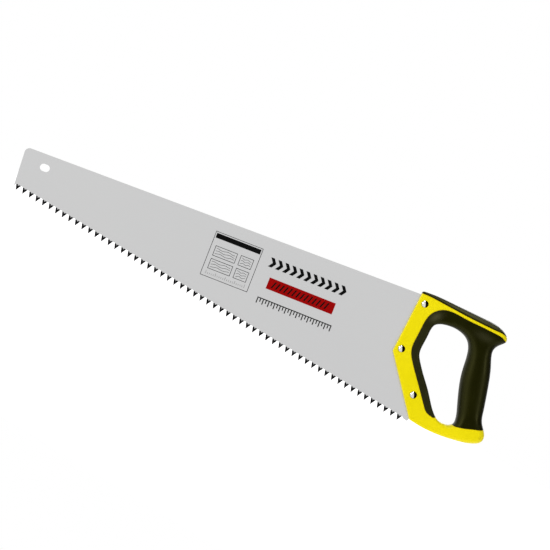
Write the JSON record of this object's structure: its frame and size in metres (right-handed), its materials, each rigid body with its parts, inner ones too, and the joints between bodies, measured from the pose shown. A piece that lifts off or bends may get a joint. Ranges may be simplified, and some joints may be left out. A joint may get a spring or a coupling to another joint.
{
  "type": "hand saw",
  "caption": "Hand saw with a tapered toothed steel blade bolted into a closed two-component handle: hard core with soft overmoulded grip.",
  "frame": {"origin": "point of the tooth nearest the handle, on the mid-plane of the blade", "axes": "+X along the tooth line from the toe to the handle, +Y through the blade towards the side the screws go in from, +Z from the tooth points up towards the back of the blade"},
  "size_m": [0.5409, 0.028, 0.133],
  "materials": {
    "blade_steel": "satin, long-way grind under clear lacquer, darkened ground bevels on the teeth",
    "core_plastic": "fine spark texture, semi-gloss",
    "soft_grip": "matt soft elastomer with fine texture",
    "fastener_steel": "bright nickel plate"
  },
  "bodies": {
    "saw": {"blade": "blade_steel", "handle_core": "core_plastic", "grip_overmould": "soft_grip", "top_overmould": "soft_grip", "upper_sleeve_nut": "fastener_steel", "middle_sleeve_nut": "fastener_steel", "lower_sleeve_nut": "fastener_steel"},
    "upper_bolt": {"upper_screw": "fastener_steel"},
    "middle_bolt": {"middle_screw": "fastener_steel"},
    "lower_bolt": {"lower_screw": "fastener_steel"}
  },
  "joints": [
    {"name": "upper_screw_out", "type": "slide", "parent": "saw", "child": "upper_bolt", "axis": [0, 1, 0], "range_m": [0, 0.015]},
    {"name": "middle_screw_out", "type": "slide", "parent": "saw", "child": "middle_bolt", "axis": [0, 1, 0], "range_m": [0, 0.015]},
    {"name": "lower_screw_out", "type": "slide", "parent": "saw", "child": "lower_bolt", "axis": [0, 1, 0], "range_m": [0, 0.015]}
  ]
}
